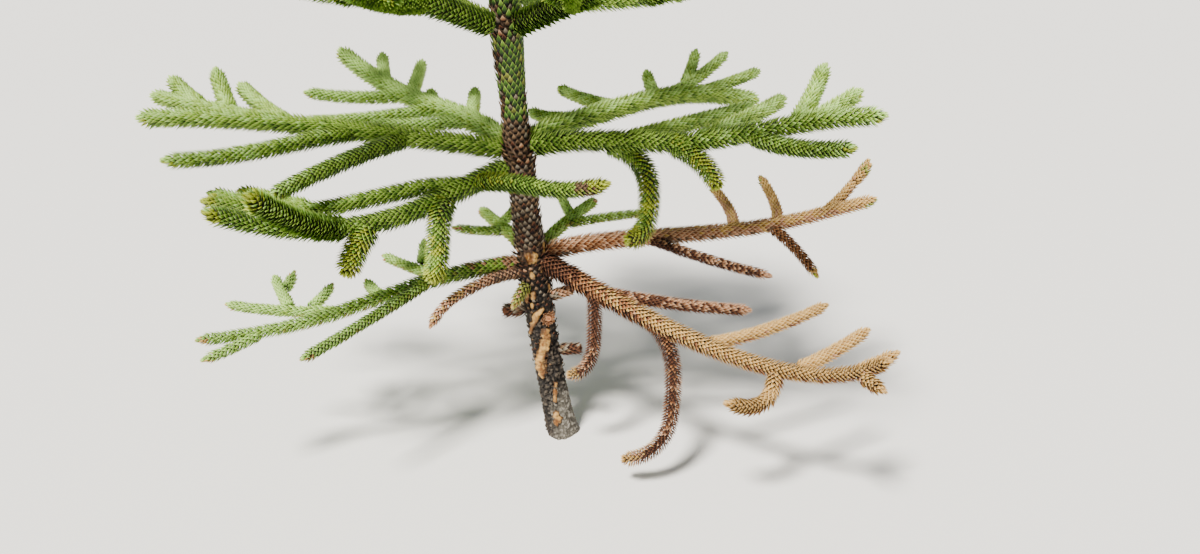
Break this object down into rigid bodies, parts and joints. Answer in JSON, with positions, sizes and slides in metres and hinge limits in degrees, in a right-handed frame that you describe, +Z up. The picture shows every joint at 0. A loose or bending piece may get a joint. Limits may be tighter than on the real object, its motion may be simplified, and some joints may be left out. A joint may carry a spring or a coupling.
{
  "type": "monkey puzzle tree",
  "caption": "Young monkey puzzle tree with a leaning trunk, whorls of spreading boughs and rope-like shoots of sharp overlapping leaves; lowest boughs on one side dead and brown.",
  "frame": {"origin": "centre of the flat cut under the trunk, at ground level", "axes": "+Z up the tree; seen from the side in the picture, +X to the right and +Y away from the viewer"},
  "size_m": [2.3708, 1.816, 3.0002],
  "materials": {
    "trunk_bark": "rough dark brown bark with dead leaf scales above",
    "stump_wood": "weathered grey dead wood",
    "bough_wood": "limb covered in overlapping leaf scales",
    "leaves_green": "satin mid green leaves with paler edges",
    "leaves_pale": "waxy pale green young leaves",
    "leaves_olive": "dull olive green leaves",
    "leaves_rust": "dry rust brown dead leaves",
    "leaves_straw": "dry straw coloured dead leaves"
  },
  "bodies": {
    "root": {"trunk": "trunk_bark", "stump_left": "stump_wood", "stump_right": "stump_wood", "stump_right_low": "stump_wood", "bough_high_front": "bough_wood", "bough_high_left": "bough_wood", "bough_high_left_back": "bough_wood", "bough_high_right_back": "bough_wood", "bough_high_right_front": "bough_wood", "bough_low_left": "bough_wood", "bough_low_left_back": "bough_wood", "bough_low_left_front": "bough_wood", "bough_low_right": "bough_wood", "bough_low_right_back": "bough_wood", "bough_low_right_front": "bough_wood", "bough_middle_left": "bough_wood", "bough_middle_left_back": "bough_wood", "bough_middle_left_front": "bough_wood", "bough_middle_right": "bough_wood", "bough_middle_right_back": "bough_wood", "bough_upper_back": "bough_wood", "bough_upper_left_back": "bough_wood", "bough_upper_left_front": "bough_wood", "bough_upper_right_back": "bough_wood", "bough_upper_right_front": "bough_wood", "foliage_crest_left_back": "leaves_green", "foliage_crest_left_front": "leaves_green", "foliage_crest_right_back": "leaves_green", "foliage_crest_right_front": "leaves_green", "foliage_high_front": "leaves_green", "foliage_high_left": "leaves_green", "foliage_high_left_back": "leaves_green", "foliage_high_right_back": "leaves_green", "foliage_high_right_front": "leaves_green", "foliage_leader": "leaves_green", "foliage_low_front": "leaves_green", "foliage_low_left": "leaves_olive", "foliage_low_left_back": "leaves_olive", "foliage_low_left_front": "leaves_rust", "foliage_low_right": "leaves_straw", "foliage_low_right_back": "leaves_olive", "foliage_low_right_front": "leaves_rust", "foliage_middle_left": "leaves_green", "foliage_middle_left_back": "leaves_pale", "foliage_middle_left_front": "leaves_green", "foliage_middle_right": "leaves_green", "foliage_middle_right_back": "leaves_green", "foliage_top_back": "leaves_green", "foliage_top_left_back": "leaves_green", "foliage_top_left_front": "leaves_green", "foliage_top_right": "leaves_green", "foliage_top_right_front": "leaves_green", "foliage_upper_back": "leaves_green", "foliage_upper_left_back": "leaves_green", "foliage_upper_left_front": "leaves_green", "foliage_upper_right_back": "leaves_green", "foliage_upper_right_front": "leaves_green"}
  },
  "joints": []
}
